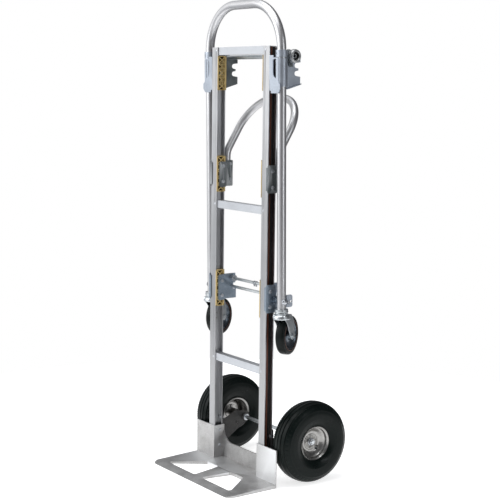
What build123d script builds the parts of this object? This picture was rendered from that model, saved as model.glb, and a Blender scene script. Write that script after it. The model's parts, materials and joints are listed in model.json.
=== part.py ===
from build123d import *
from math import cos, hypot, radians, sin, tan
import os

# Convertible hand truck, upright. Millimetres, +Z up, front is -Y, right is +X.
# Origin on the floor, under the middle of the two side rails.

# side rails, I-section with the web in the YZ plane
RAIL_X = 143.0
RAIL_WIDTH = 32.0
RAIL_DEPTH = 32.0
WEB = 4.0
FLANGE = 3.5
RAIL_BOTTOM = 12.5
RAIL_TOP = 1402.5
CHANNEL = RAIL_DEPTH - 2 * FLANGE

# crossbars
BAR = 25.0
BAR_WALL = 2.0
BAR_TOPS = {"top": 1402.5, "middle": 898.0, "lower": 378.0}
RIVET_X = 136.5
RIVET_R = 2.5

# nose plate
NOSE_HALF = 228.6
NOSE_FRONT = 206.0
EAR_TOP = 124.5
EAR_INNER = 123.0
EAR_THICK = 4.0
WALL_TOP = 68.0
NOSE_BOLT_Z = (55.0, 108.0)
NOSE_BOLT_Y = 3.0

# wheels
AXLE_Y = 121.0
AXLE_Z = 133.0
AXLE_R = 6.35
WHEEL_X = 223.0
TYRE_R = 133.0
TYRE_HALF = 42.5
RIM_R = 51.0
RIM_HALF = 27.0
FLANGE_R = 55.0
DISC_X = 3.0
DISC_T = 3.0
HUB_INNER = -62.0
HUB_OUTER = 6.5
BARREL_R = 14.4
AXLE_HALF = 241.0
RIM_HOLE = (24.0, -22.0, 8.0)

# handle and its casters
TUBE_X = 198.0
TUBE_Y = 15.7
TUBE_R = 14.5
TUBE_WALL = 2.5
TUBE_BOTTOM = 576.0
LOOP_Z = 1536.0
LOOP_BEND = 145.0
PIVOT_Z = 601.0
PIVOT_R = 6.0
HANDLE_LEAN = 1.05
CASTER_TURN = {"left": 22.0, "right": 29.0}
CASTER_TRAIL = 44.0
SEAT_Z = 569.0
DOME_Z = 548.0
CASTER_R = 63.5
CASTER_Z = 484.0
RUNNING = 0.08

# guide blocks that run in the rails, lowest and highest z
LOWER_BLOCK = (540.0, 663.0)
MIDDLE_BLOCK = (927.0, 1046.0)
TOP_BLOCK = (1263.0, 1375.0)
SLIDE_GAP = 0.4

# tie rods of the carriage
ROD_R = 5.0
RODS = {"lower": (45.0, 604.0), "upper": (47.0, 632.0)}

# brace loop
BRACE_X = 141.0
BRACE_Y = 34.0
BRACE_R = 12.5
BRACE_BOTTOM = 944.0
BRACE_KNEE = 1060.0
BRACE_LEAN = 31.5
BRACE_LENGTH = 210.0
BRACE_BEND = 120.0

# latch bar and the notched plates
LATCH_Y = 46.0
LATCH_Z = 1371.0
LATCH_R = 7.0
HOOK_X = 170.5
HOOK_THICK = 3.0

SIDES = (("left", -1), ("right", 1))
os.makedirs("parts", exist_ok=True)


def bent_path(points, radii):
    """Straight lines through the points, with an arc at each corner between them."""
    start = Vector(*points[0])
    for i, r in enumerate(radii):
        a, corner, b = (Vector(*p) for p in points[i : i + 3])
        back, ahead = (a - corner).normalized(), (b - corner).normalized()
        half = radians(back.get_angle(ahead)) / 2
        reach = r / tan(half)
        middle = corner + (back + ahead).normalized() * (r / sin(half) - r)
        Line(start, corner + back * reach)
        ThreePointArc(corner + back * reach, middle, corner + ahead * reach)
        start = corner + ahead * reach
    Line(start, Vector(*points[-1]))


def cross_hole(y, z, r, inner, outer, s):
    """A round hole along X, from |x| = inner to |x| = outer on side s."""
    with BuildSketch(Plane.YZ.offset(s * inner)) as round_face:
        with Locations((y, z)):
            Circle(r)
    extrude(round_face.sketch, amount=s * (outer - inner), mode=Mode.SUBTRACT)


def cross_bar(y, z, r, inner, outer, s):
    """A round bar along X, from |x| = inner to |x| = outer on side s."""
    with BuildSketch(Plane.YZ.offset(s * inner)) as round_face:
        with Locations((y, z)):
            Circle(r)
    extrude(round_face.sketch, amount=s * (outer - inner))


# ---------------------------------------------------------------- fixed frame

for side, s in SIDES:
    with BuildPart() as rail:
        with BuildSketch(Plane.XY.offset(RAIL_BOTTOM)):
            with Locations((s * RAIL_X, 0)):
                Rectangle(WEB, RAIL_DEPTH)
            for y in (-1, 1):
                with Locations((s * RAIL_X, y * (RAIL_DEPTH - FLANGE) / 2)):
                    Rectangle(RAIL_WIDTH, FLANGE)
        extrude(amount=RAIL_TOP - RAIL_BOTTOM)
        for y, z in ((-2, 514), (-2, 495)):
            cross_hole(y, z, 2.5, 140, 146, s)
        for z in NOSE_BOLT_Z:
            cross_hole(NOSE_BOLT_Y, z, 3.05, 140, 146, s)
        with BuildSketch(Plane.XZ.offset(-20)):
            for top in BAR_TOPS.values():
                with Locations((s * RIVET_X, top - BAR / 2)):
                    Circle(RIVET_R)
        extrude(amount=40, mode=Mode.SUBTRACT)
        with BuildSketch(Plane.XZ.offset(-20)):
            for z in (50, 150):
                with Locations((s * 133.5, z), (s * 152.5, z)):
                    Circle(3.05)
            for z in (1290, 1352):
                with Locations((s * 152.5, z)):
                    Circle(3.05)
        extrude(amount=10, mode=Mode.SUBTRACT)
    rail.part.label = f"side_rail_{side}"
    export_step(rail.part, f"parts/side_rail_{side}.step")

bar_end = RAIL_X - WEB / 2
for name, top in BAR_TOPS.items():
    with BuildPart() as crossbar:
        with BuildSketch(Plane.YZ.offset(-bar_end)):
            with Locations((0, top - BAR / 2)):
                Rectangle(BAR, BAR)
                Rectangle(BAR - 2 * BAR_WALL, BAR - 2 * BAR_WALL, mode=Mode.SUBTRACT)
        extrude(amount=2 * bar_end)
        with BuildSketch(Plane.XZ.offset(-20)):
            with Locations((-RIVET_X, top - BAR / 2), (RIVET_X, top - BAR / 2)):
                Circle(RIVET_R)
        extrude(amount=40, mode=Mode.SUBTRACT)
    crossbar.part.label = f"crossbar_{name}"
    export_step(crossbar.part, f"parts/crossbar_{name}.step")

# domed rivets that hold the crossbars, front and back
with BuildPart() as rivets:
    for top in BAR_TOPS.values():
        for x in (-RIVET_X, RIVET_X):
            for y in (-1, 1):
                skin = y * RAIL_DEPTH / 2
                shank = y * (BAR / 2 - BAR_WALL)
                with BuildSketch(Plane.XZ.offset(-shank)):
                    with Locations((x, top - BAR / 2)):
                        Circle(RIVET_R)
                extrude(amount=-(skin - shank))
                with BuildSketch(Plane.XZ.offset(-skin)):
                    with Locations((x, top - BAR / 2)):
                        Circle(4.5)
                extrude(amount=-y * 1.8, taper=25)
rivets.part.label = "crossbar_rivets"
export_step(rivets.part, "parts/crossbar_rivets.step")

# cast nose plate: tapered blade with two windows, ears in front of the rails, low middle wall
with BuildPart() as nose:
    with BuildSketch(Plane.YZ.offset(-NOSE_HALF)):
        with BuildLine():
            Polyline(
                (22, 0), (-NOSE_FRONT + 3, 0), (-NOSE_FRONT, 1.6), (-185, 6.5), (-20, 12.5), (22, 12.5),
                (22, 0)
            )
        make_face()
    extrude(amount=2 * NOSE_HALF)
    with BuildSketch(Plane.XY):
        with BuildLine():
            Polyline(
                (-NOSE_HALF, -EAR_THICK * 4), (-NOSE_HALF, -NOSE_FRONT), (NOSE_HALF, -NOSE_FRONT),
                (NOSE_HALF, -EAR_THICK * 4), (130, -16), (130, 22), (-130, 22), (-130, -16), (-NOSE_HALF, -16)
            )
        make_face()
        fillet([v for v in vertices() if abs(v.Y + NOSE_FRONT) < 0.1], 30)
    extrude(amount=20, mode=Mode.INTERSECT)
    with BuildSketch(Plane.XY):
        for s in (-1, 1):
            with BuildLine():
                Polyline((s * 37, -60), (s * 107, -60), (s * 186, -167), (s * 20, -167), (s * 37, -60))
            make_face()
        fillet(vertices(), 8)
    extrude(amount=20, mode=Mode.SUBTRACT)
    for s in (-1, 1):
        with BuildSketch(Plane.XZ.offset(16)):
            with BuildLine():
                Polyline(
                    (s * EAR_INNER, 1), (s * NOSE_HALF, 1), (s * NOSE_HALF, EAR_TOP),
                    (s * EAR_INNER, EAR_TOP), (s * EAR_INNER, 1)
                )
            make_face()
            fillet([v for v in vertices() if abs(v.Z - EAR_TOP) < 0.1 and abs(v.X) > 200], 14)
        extrude(amount=EAR_THICK)
        with BuildSketch(Plane.YZ.offset(s * EAR_INNER)):
            with Locations((1, (EAR_TOP + 1) / 2)):
                Rectangle(42, EAR_TOP - 1)
        extrude(amount=s * EAR_THICK)
    with BuildSketch(Plane.XZ.offset(-22)):
        with BuildLine():
            Line((-125, 1), (-125, 108))
            Line((-125, 108), (-EAR_INNER, 108))
            ThreePointArc((-EAR_INNER, 108), (-105, 79), (-66, WALL_TOP))
            Line((-66, WALL_TOP), (66, WALL_TOP))
            ThreePointArc((66, WALL_TOP), (105, 79), (EAR_INNER, 108))
            Line((EAR_INNER, 108), (125, 108))
            Line((125, 108), (125, 1))
            Line((125, 1), (-125, 1))
        make_face()
    extrude(amount=EAR_THICK)
    for s in (-1, 1):
        for z in NOSE_BOLT_Z:
            cross_hole(NOSE_BOLT_Y, z, 3.05, 120, 130, s)
nose.part.label = "nose_plate"
export_step(nose.part, "parts/nose_plate.step")

with BuildPart() as nose_bolts:
    for side, s in SIDES:
        for z in NOSE_BOLT_Z:
            cross_bar(NOSE_BOLT_Y, z, 5.5, 120, EAR_INNER, s)
            cross_bar(NOSE_BOLT_Y, z, 3, EAR_INNER, 149, s)
            cross_bar(NOSE_BOLT_Y, z, 5.2, 145, 149, s)
nose_bolts.part.label = "nose_bolts"
export_step(nose_bolts.part, "parts/nose_bolts.step")

# pressed axle brackets behind the rails
for side, s in SIDES:
    with BuildPart() as axle_bracket:
        with BuildSketch(Plane.XZ.offset(-16)):
            with Locations((s * 144, 102)):
                RectangleRounded(33, 140, 5)
        extrude(amount=-4)
        with BuildSketch(Plane.YZ.offset(s * 141)):
            with BuildLine():
                Polyline(
                    (18, 40), (54, 69), (92, 94), (AXLE_Y + 8, AXLE_Z - 18), (AXLE_Y + 20, AXLE_Z),
                    (AXLE_Y + 4, AXLE_Z + 20), (80, 158), (35, 137), (18, 132), (18, 40)
                )
            make_face()
            with Locations((AXLE_Y, AXLE_Z)):
                Circle(20)
            with Locations((88, 116)):
                Circle(5.5, mode=Mode.SUBTRACT)
        extrude(amount=s * 4)
        cross_bar(AXLE_Y, AXLE_Z, 13, 139, 160, s)
        cross_hole(AXLE_Y, AXLE_Z, AXLE_R + 0.05, 125, 165, s)
        with BuildSketch(Plane.XZ.offset(-22)):
            with Locations(*[(s * x, z) for x in (133.5, 152.5) for z in (50, 150)]):
                Circle(3.05)
        extrude(amount=8, mode=Mode.SUBTRACT)
    axle_bracket.part.label = f"axle_bracket_{side}"
    export_step(axle_bracket.part, f"parts/axle_bracket_{side}.step")

# bolts that hold the axle brackets and the notched plates to the back of the rails
with BuildPart() as back_bolts:
    spots = [(x, z, 20) for x in (133.5, 152.5) for z in (50, 150)]
    spots += [(152.5, z, 19) for z in (1290, 1352)]
    for side, s in SIDES:
        for x, z, skin in spots:
            with BuildSketch(Plane.XZ.offset(-skin)):
                with Locations((s * x, z)):
                    RegularPolygon(5.5, 6)
            extrude(amount=-4)
            with BuildSketch(Plane.XZ.offset(-9)):
                with Locations((s * x, z)):
                    Circle(3)
            extrude(amount=9 - skin)
            with BuildSketch(Plane.XZ.offset(-9)):
                with Locations((s * x, z)):
                    RegularPolygon(5.2, 6)
            extrude(amount=-3.5)
back_bolts.part.label = "back_bolts"
export_step(back_bolts.part, "parts/back_bolts.step")

with BuildPart() as axle:
    with BuildSketch(Plane.YZ.offset(-AXLE_HALF)):
        with Locations((AXLE_Y, AXLE_Z)):
            Circle(AXLE_R)
    extrude(amount=2 * AXLE_HALF)
    chamfer(axle.edges().filter_by(GeomType.CIRCLE), 1)
axle.part.label = "axle"
export_step(axle.part, "parts/axle.step")

with BuildPart() as axle_nuts:
    washer = WHEEL_X + HUB_OUTER + 0.6
    for side, s in SIDES:
        with BuildSketch(Plane.YZ.offset(s * washer)):
            with Locations((AXLE_Y, AXLE_Z)):
                Circle(12)
                Circle(AXLE_R + 0.05, mode=Mode.SUBTRACT)
        extrude(amount=s * 1.6)
        with BuildSketch(Plane.YZ.offset(s * (washer + 1.6))):
            with Locations((AXLE_Y, AXLE_Z)):
                RegularPolygon(11, 6)
                Circle(AXLE_R + 0.05, mode=Mode.SUBTRACT)
        extrude(amount=s * 7)
        # collar inside the bracket
        with BuildSketch(Plane.YZ.offset(s * 138.8)):
            with Locations((AXLE_Y, AXLE_Z)):
                Circle(11)
                Circle(AXLE_R + 0.05, mode=Mode.SUBTRACT)
        extrude(amount=-s * 9)
axle_nuts.part.label = "axle_nuts"
export_step(axle_nuts.part, "parts/axle_nuts.step")

# notched plates outside the rails at the top, with a foot on the rail's back flange
for side, s in SIDES:
    with BuildPart() as hook:
        with BuildSketch(Plane.YZ.offset(s * HOOK_X)):
            with BuildLine():
                Polyline(
                    (16, 1262), (48, 1270), (95, 1284), (95, 1308), (80, 1310), (80, 1326), (87, 1327),
                    (87, 1334), (80, 1335), (80, 1351), (95, 1353), (95, 1365), (66, 1370), (58, 1387),
                    (34, 1387), (26, 1368), (16, 1366), (16, 1262)
                )
            make_face()
            with Locations((80, 1318), (80, 1343)):
                Circle(8, mode=Mode.SUBTRACT)
            with Locations((LATCH_Y, LATCH_Z)):
                Circle(LATCH_R + RUNNING, mode=Mode.SUBTRACT)
        extrude(amount=s * HOOK_THICK)
        with BuildSketch(Plane.XZ.offset(-16)):
            with Locations((s * 157.25, 1320)):
                Rectangle(32.5, 84)
        extrude(amount=-3)
        with BuildSketch(Plane.YZ.offset(s * (HOOK_X + HOOK_THICK))):
            with BuildLine():
                Polyline(
                    (40, 1268.2), (48, 1270), (95, 1284), (95, 1287.1), (48, 1273.1), (40, 1271.3),
                    (40, 1268.2)
                )
            make_face()
        extrude(amount=s * 7)
        with BuildSketch(Plane.XZ.offset(-22)):
            with Locations((s * 152.5, 1290), (s * 152.5, 1352)):
                Circle(3.05)
        extrude(amount=8, mode=Mode.SUBTRACT)
    hook.part.label = f"hook_plate_{side}"
    export_step(hook.part, f"parts/hook_plate_{side}.step")


def guide_block(low, high, s, outer_too=True):
    """A lattice-faced block in the rail's inner channel, and a plain pad in the outer one."""
    web = RAIL_X - WEB / 2 - SLIDE_GAP
    lip = RAIL_X - RAIL_WIDTH / 2 - SLIDE_GAP
    half = CHANNEL / 2 - SLIDE_GAP
    length = high - low
    with BuildSketch(Plane.XY.offset(low)) as body_face:
        with BuildLine():
            Polyline(
                (s * web, -half), (s * web, half), (s * lip, half), (s * lip, 17), (s * (lip - 2.7), 17),
                (s * (lip - 2.7), -17), (s * lip, -17), (s * lip, -half), (s * web, -half)
            )
        make_face()
    extrude(body_face.sketch, amount=length)
    cells = 6
    pitch = (length - 4) / cells
    with BuildSketch(Plane.YZ.offset(s * (lip - 2.7))) as lattice_face:
        for i in range(cells):
            z = low + 2 + pitch * (i + 0.5)
            with Locations((-8, z), (8, z)):
                Circle(5.2)
        for i in range(cells - 1):
            with Locations((0, low + 2 + pitch * (i + 1))):
                Rectangle(6.4, 6.4, rotation=45)
    extrude(lattice_face.sketch, amount=s * 2.2, mode=Mode.SUBTRACT)
    if outer_too:
        outer_web = RAIL_X + WEB / 2 + SLIDE_GAP
        with BuildSketch(Plane.XY.offset(low + 24)) as pad_face:
            with Locations((s * (outer_web + 6.9), 0)):
                Rectangle(13.8, 2 * half)
        extrude(pad_face.sketch, amount=length - 42)


with BuildPart() as top_blocks:
    for side, s in SIDES:
        guide_block(*TOP_BLOCK, s, outer_too=False)
        cross_hole(0, 1319, 7, 120, 130, s)
        cross_hole(0, 1319, 3.05, 120, 141, s)
top_blocks.part.label = "guide_blocks_top"
export_step(top_blocks.part, "parts/guide_blocks_top.step")

with BuildPart() as block_screws:
    for side, s in SIDES:
        cross_bar(0, 1319, 5.5, 126.5, 130, s)
        cross_bar(0, 1319, 3, 130, 140.9, s)
block_screws.part.label = "guide_block_screws"
export_step(block_screws.part, "parts/guide_block_screws.step")

# ---------------------------------------------------------------- latch bar

with BuildPart() as latch_bar:
    with BuildSketch(Plane.YZ.offset(-184)):
        with Locations((LATCH_Y, LATCH_Z)):
            Circle(LATCH_R)
            Circle(LATCH_R - 2, mode=Mode.SUBTRACT)
    extrude(amount=390)
latch_bar.part.label = "latch_bar"
export_step(latch_bar.part, "parts/latch_bar.step")

with BuildPart() as latch_eye:
    cross_bar(LATCH_Y, LATCH_Z, 21.5, 200, 216, 1)
    fillet(latch_eye.edges().filter_by(GeomType.CIRCLE).sort_by(Axis.X)[-1], 5)
    cross_hole(LATCH_Y, LATCH_Z, LATCH_R, 199, 206, 1)
    cross_hole(LATCH_Y, LATCH_Z, 9, 206, 217, 1)
latch_eye.part.label = "latch_eye"
export_step(latch_eye.part, "parts/latch_eye.step")

with BuildPart() as latch_strap:
    with BuildSketch(Plane.YZ.offset(194)):
        with BuildLine():
            ThreePointArc((26, 1392), (50, 1381), (60, 1352))
            Line((60, 1352), (53, 1352))
            ThreePointArc((53, 1352), (45, 1376), (26, 1385))
            Line((26, 1385), (26, 1392))
        make_face()
        with Locations((LATCH_Y, LATCH_Z)):
            Circle(13)
            Circle(LATCH_R, mode=Mode.SUBTRACT)
    extrude(amount=6)
latch_strap.part.label = "latch_strap"
export_step(latch_strap.part, "parts/latch_strap.step")

with BuildPart() as latch_links:
    for side, s in SIDES:
        with BuildSketch(Plane.YZ.offset(s * 176)):
            with BuildLine():
                Polyline((38, 1371), (50, 1338), (60, 1338), (56, 1371), (38, 1371))
            make_face()
            with Locations((LATCH_Y, LATCH_Z)):
                Circle(11)
                Circle(LATCH_R, mode=Mode.SUBTRACT)
        extrude(amount=s * 4)
latch_links.part.label = "latch_links"
export_step(latch_links.part, "parts/latch_links.step")

# ---------------------------------------------------------------- wheels

HUB_BOLTS = [
    (AXLE_Y + 19.5 * cos(radians(a)), AXLE_Z + 19.5 * sin(radians(a))) for a in (0, 90, 180, 270)
]

for side, s in SIDES:
    wheel_plane = Plane(origin=(s * WHEEL_X, AXLE_Y, AXLE_Z), x_dir=(1, 0, 0), z_dir=(0, -1, 0))
    wheel_axis = Axis((0, AXLE_Y, AXLE_Z), (1, 0, 0))

    with BuildPart() as tyre:
        with BuildSketch(wheel_plane):
            with BuildLine():
                Line((-RIM_HALF, RIM_R), (-RIM_HALF, FLANGE_R))
                Spline(
                    (-RIM_HALF, FLANGE_R), (-TYRE_HALF + 1.5, 82), (-TYRE_HALF, 97), (-35, 120),
                    (-20, TYRE_R - 3), (0, TYRE_R), (20, TYRE_R - 3), (35, 120), (TYRE_HALF, 97),
                    (TYRE_HALF - 1.5, 82), (RIM_HALF, FLANGE_R)
                )
                Line((RIM_HALF, FLANGE_R), (RIM_HALF, RIM_R))
                Line((RIM_HALF, RIM_R), (13, RIM_R))
                Spline(
                    (13, RIM_R), (22, 62), (34, 88), (24, 116), (0, 123), (-24, 116), (-34, 88), (-22, 62),
                    (-13, RIM_R)
                )
                Line((-13, RIM_R), (-RIM_HALF, RIM_R))
            make_face()
            for x, r in ((-28, 130), (-14, 134), (0, 135.5), (14, 134), (28, 130)):
                with Locations((x, r)):
                    Rectangle(3.2, 10, mode=Mode.SUBTRACT)
        revolve(axis=wheel_axis)
    tyre.part.label = f"tyre_{side}"
    export_step(tyre.part, f"parts/tyre_{side}.step")

    with BuildPart() as rim:
        with BuildSketch(wheel_plane):
            with BuildLine():
                Polyline(
                    (-30, RIM_R - 3), (-30, FLANGE_R), (-RIM_HALF, FLANGE_R), (-RIM_HALF, RIM_R),
                    (RIM_HALF, RIM_R), (RIM_HALF, FLANGE_R), (30, FLANGE_R), (30, RIM_R - 3),
                    (-30, RIM_R - 3)
                )
            make_face()
            with BuildLine():
                near, far = s * DISC_X, s * (DISC_X + DISC_T)
                Polyline(
                    (s * 18, RIM_R - 2), (s * 12, RIM_R - 2), (near, 38), (near, BARREL_R + 0.1),
                    (far, BARREL_R + 0.1), (far, 36.5), (s * 18, RIM_R - 5), (s * 18, RIM_R - 2)
                )
            make_face()
        revolve(axis=wheel_axis)
        with BuildSketch(Plane.YZ.offset(s * (WHEEL_X + 1))):
            with Locations((AXLE_Y + RIM_HOLE[0], AXLE_Z + RIM_HOLE[1])):
                Circle(RIM_HOLE[2])
            with Locations(*HUB_BOLTS):
                Circle(3.05)
        extrude(amount=s * 16, mode=Mode.SUBTRACT)
    rim.part.label = f"rim_{side}"
    export_step(rim.part, f"parts/rim_{side}.step")

    with BuildPart() as hub:
        with BuildSketch(wheel_plane):
            with BuildLine():
                bore = AXLE_R + RUNNING
                Polyline(
                    (s * HUB_INNER, bore), (s * HUB_INNER, 11.5), (s * -33, 11.5), (s * -30, BARREL_R),
                    (0, BARREL_R), (0, 24.5), (s * DISC_X, 24.5), (s * DISC_X, BARREL_R),
                    (s * HUB_OUTER, BARREL_R), (s * HUB_OUTER, bore), (s * HUB_INNER, bore)
                )
            make_face()
        revolve(axis=wheel_axis)
        for y, z in HUB_BOLTS:
            cross_hole(y, z, 3.05, WHEEL_X - 1, WHEEL_X + 4, s)
    hub.part.label = f"hub_{side}"
    export_step(hub.part, f"parts/hub_{side}.step")

    with BuildPart() as hub_bolts:
        for y, z in HUB_BOLTS:
            cross_bar(y, z, 3, WHEEL_X - 4, WHEEL_X + 9, s)
            with BuildSketch(Plane.YZ.offset(s * (WHEEL_X + DISC_X + DISC_T))):
                with Locations((y, z)):
                    RegularPolygon(5, 6)
            extrude(amount=s * 3.2)
            with BuildSketch(Plane.YZ.offset(s * WHEEL_X)):
                with Locations((y, z)):
                    RegularPolygon(5, 6)
            extrude(amount=s * -4)
    hub_bolts.part.label = f"hub_bolts_{side}"
    export_step(hub_bolts.part, f"parts/hub_bolts_{side}.step")

    with BuildPart() as valve:
        # it stands on the inside of the rim, behind the hole
        reach = hypot(RIM_HOLE[0], RIM_HOLE[1])
        way = (0, RIM_HOLE[0] / reach, RIM_HOLE[1] / reach)
        for start, radius, length in ((RIM_R - 3.4, 5, 2), (RIM_R - 5.1, 3, 13), (RIM_R - 10.1, 3.8, 8)):
            spot = (s * (WHEEL_X - 12), AXLE_Y + start * way[1], AXLE_Z + start * way[2])
            with BuildSketch(Plane(origin=spot, z_dir=way)):
                Circle(radius)
            extrude(amount=-length)
    valve.part.label = f"valve_{side}"
    export_step(valve.part, f"parts/valve_{side}.step")

# ---------------------------------------------------------------- carriage


def rail_clip(low, high, s):
    """Sheet steel that wraps the outside, back and inside of a rail."""
    gap, t = SLIDE_GAP, 3.0
    outer = RAIL_X + RAIL_WIDTH / 2 + gap
    inner = RAIL_X - RAIL_WIDTH / 2 - gap - 2.7
    back = RAIL_DEPTH / 2 + 1.0
    front = RAIL_DEPTH / 2 + gap
    with BuildSketch(Plane.YZ.offset(s * outer)) as outer_face:
        with Locations(((back + t - front - 2.5) / 2, (low + high) / 2)):
            RectangleRounded(back + t + front + 2.5, high - low, 7)
    extrude(outer_face.sketch, amount=s * t)
    with BuildSketch(Plane.XZ.offset(front)) as lip_face:
        with Locations((s * (outer - 3), (low + high) / 2)):
            Rectangle(7.5, high - low - 16)
    extrude(lip_face.sketch, amount=2.5)
    with BuildSketch(Plane.XZ.offset(-back)) as back_face:
        with Locations((s * (inner + outer) / 2, (low + high) / 2)):
            Rectangle(outer - inner + 2 * t - 1, high - low - 12)
    extrude(back_face.sketch, amount=-t)
    with BuildSketch(Plane.YZ.offset(s * (inner - t))) as inner_face:
        with Locations(((back + t - 9) / 2, (low + high) / 2 - 2)):
            RectangleRounded(back + t + 9, high - low - 4, 7)
    extrude(inner_face.sketch, amount=s * t)


with BuildPart() as lower_blocks:
    for side, s in SIDES:
        guide_block(*LOWER_BLOCK, s)
        for z in (575, 625):
            cross_hole(6, z, 3.05, 120, 141, s)
            cross_hole(-3, z + 3, 3.05, 145, 160, s)
lower_blocks.part.label = "guide_blocks_lower"
export_step(lower_blocks.part, "parts/guide_blocks_lower.step")

for side, s in SIDES:
    with BuildPart() as carriage_bracket:
        rail_clip(559, 650, s)
        with BuildSketch(Plane.YZ.offset(s * 120.9)):
            with BuildLine():
                Polyline(
                    (14, 563), (63, 563), (63, 594), (52, 594), (52, 615), (60, 615), (60, 648), (14, 648),
                    (14, 563)
                )
            make_face()
        extrude(amount=s * 3)
        for z in (575, 625):
            cross_hole(6, z, 3.05, 118, 126, s)
            cross_hole(-3, z + 3, 3.05, 158, 165, s)
        cross_bar(TUBE_Y, PIVOT_Z, 12.5, 162, 171, s)
        cross_bar(TUBE_Y, PIVOT_Z, 9, 171, 183, s)
        cross_hole(TUBE_Y, PIVOT_Z, PIVOT_R + 0.05, 158, 185, s)
        for y, z in RODS.values():
            cross_hole(y, z, ROD_R + 0.05, 118, 126, s)
    carriage_bracket.part.label = f"carriage_bracket_{side}"
    export_step(carriage_bracket.part, f"parts/carriage_bracket_{side}.step")

with BuildPart() as carriage_bolts:
    for side, s in SIDES:
        for z in (575, 625):
            for y, z0, a, b, head in ((6, z, 117.4, 138, 120.9), (-3, z + 3, 165.9, 148, 162.4)):
                cross_bar(y, z0, 6, a, head, s)
                cross_bar(y, z0, 3, head, b, s)
carriage_bolts.part.label = "carriage_bolts"
export_step(carriage_bolts.part, "parts/carriage_bolts.step")

with BuildPart() as rods:
    with BuildSketch(Plane.YZ.offset(-127)):
        with Locations(*RODS.values()):
            Circle(ROD_R)
    extrude(amount=254)
    chamfer(rods.edges().filter_by(GeomType.CIRCLE), 1)
rods.part.label = "tie_rods"
export_step(rods.part, "parts/tie_rods.step")

with BuildPart() as rod_collars:
    y, z = RODS["upper"]
    for side, s in SIDES:
        with BuildSketch(Plane.YZ.offset(s * 104)):
            with Locations((y, z)):
                RegularPolygon(11, 6)
                Circle(ROD_R + 0.05, mode=Mode.SUBTRACT)
        extrude(amount=s * 16.9)
    for x in (6, 17):
        with BuildSketch(Plane.YZ.offset(x)):
            with Locations((y, z)):
                Circle(ROD_R + 2)
                Circle(ROD_R + 0.05, mode=Mode.SUBTRACT)
            with Locations((y, z - ROD_R - 4)):
                Rectangle(4, 6)
        extrude(amount=4)
rod_collars.part.label = "rod_collars"
export_step(rod_collars.part, "parts/rod_collars.step")

with BuildPart() as pivot_bolts:
    for side, s in SIDES:
        cross_bar(TUBE_Y, PIVOT_Z, PIVOT_R, 160, 214, s)
        with BuildSketch(Plane.YZ.offset(s * 213)):
            with Locations((TUBE_Y, PIVOT_Z)):
                RegularPolygon(10, 6)
        extrude(amount=s * 6)
pivot_bolts.part.label = "pivot_bolts"
export_step(pivot_bolts.part, "parts/pivot_bolts.step")

# ---------------------------------------------------------------- handle



def leaned(part):
    """The handle and its casters lean forward a little, about the pivot bolts."""
    turned = part.rotate(Axis((0, TUBE_Y, PIVOT_Z), (1, 0, 0)), HANDLE_LEAN)
    turned.label = part.label
    return turned


with BuildPart() as handle:
    with BuildLine() as handle_line:
        bent_path(
            (
                (-TUBE_X, TUBE_Y, TUBE_BOTTOM), (-TUBE_X, TUBE_Y, LOOP_Z), (TUBE_X, TUBE_Y, LOOP_Z),
                (TUBE_X, TUBE_Y, TUBE_BOTTOM)
            ),
            (LOOP_BEND, LOOP_BEND),
        )
    with BuildSketch(Plane((-TUBE_X, TUBE_Y, TUBE_BOTTOM))):
        Circle(TUBE_R)
        Circle(TUBE_R - TUBE_WALL, mode=Mode.SUBTRACT)
    sweep(path=handle_line.wires()[0])
    for s in (-1, 1):
        cross_hole(TUBE_Y, PIVOT_Z, PIVOT_R + RUNNING, 170, 225, s)
handle.part.label = "handle_tube"
export_step(leaned(handle.part), "parts/handle_tube.step")

for side, s in SIDES:
    with BuildPart() as sleeve_bracket:
        with BuildSketch(Plane.XZ.offset(15.6 - TUBE_Y)):
            with BuildLine():
                Polyline(
                    (s * 159.6, 1373), (s * 179, 1373), (s * 179, 1366), (s * 204, 1366), (s * 204, 1290),
                    (s * 213, 1284), (s * 213, 1268), (s * 202, 1256), (s * 167, 1256), (s * 167, 1264),
                    (s * 159.6, 1264), (s * 159.6, 1373)
                )
            make_face()
            fillet([v for v in vertices() if abs(v.X) > 200 and v.Z < 1300], 5)
        extrude(amount=3)
        with BuildSketch(Plane.XZ.offset(14 - TUBE_Y)):
            with BuildLine():
                Line((s * 193, 1303), (s * 193, 1362))
                Line((s * 193, 1362), (s * 186, 1362))
                ThreePointArc((s * 186, 1362), (s * 179.5, 1359), (s * 177, 1350))
                Line((s * 177, 1350), (s * 177, 1318))
                ThreePointArc((s * 177, 1318), (s * 182, 1308), (s * 193, 1303))
            make_face()
        extrude(amount=8, mode=Mode.SUBTRACT)
        with BuildSketch(Plane.XY.offset(1277)):
            with Locations((s * TUBE_X, TUBE_Y)):
                Circle(18)
                Circle(TUBE_R, mode=Mode.SUBTRACT)
        extrude(amount=87)
    sleeve_bracket.part.label = f"sleeve_bracket_{side}"
    export_step(leaned(sleeve_bracket.part), f"parts/sleeve_bracket_{side}.step")

with BuildPart() as collars:
    for side, s in SIDES:
        with BuildSketch(Plane.XY.offset(1367)):
            with Locations((s * TUBE_X, TUBE_Y)):
                Circle(18.5)
                Circle(TUBE_R, mode=Mode.SUBTRACT)
        extrude(amount=22)
    with BuildSketch(Plane.XZ.offset(14.6 - TUBE_Y)):
        with Locations((TUBE_X, 1378), (-TUBE_X, 1378)):
            Circle(3.05)
    extrude(amount=6, mode=Mode.SUBTRACT)
    cross_hole(TUBE_Y, 1378, 3.05, TUBE_X + TUBE_R, TUBE_X + 25, -1)
collars.part.label = "handle_collars"
export_step(leaned(collars.part), "parts/handle_collars.step")

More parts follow.
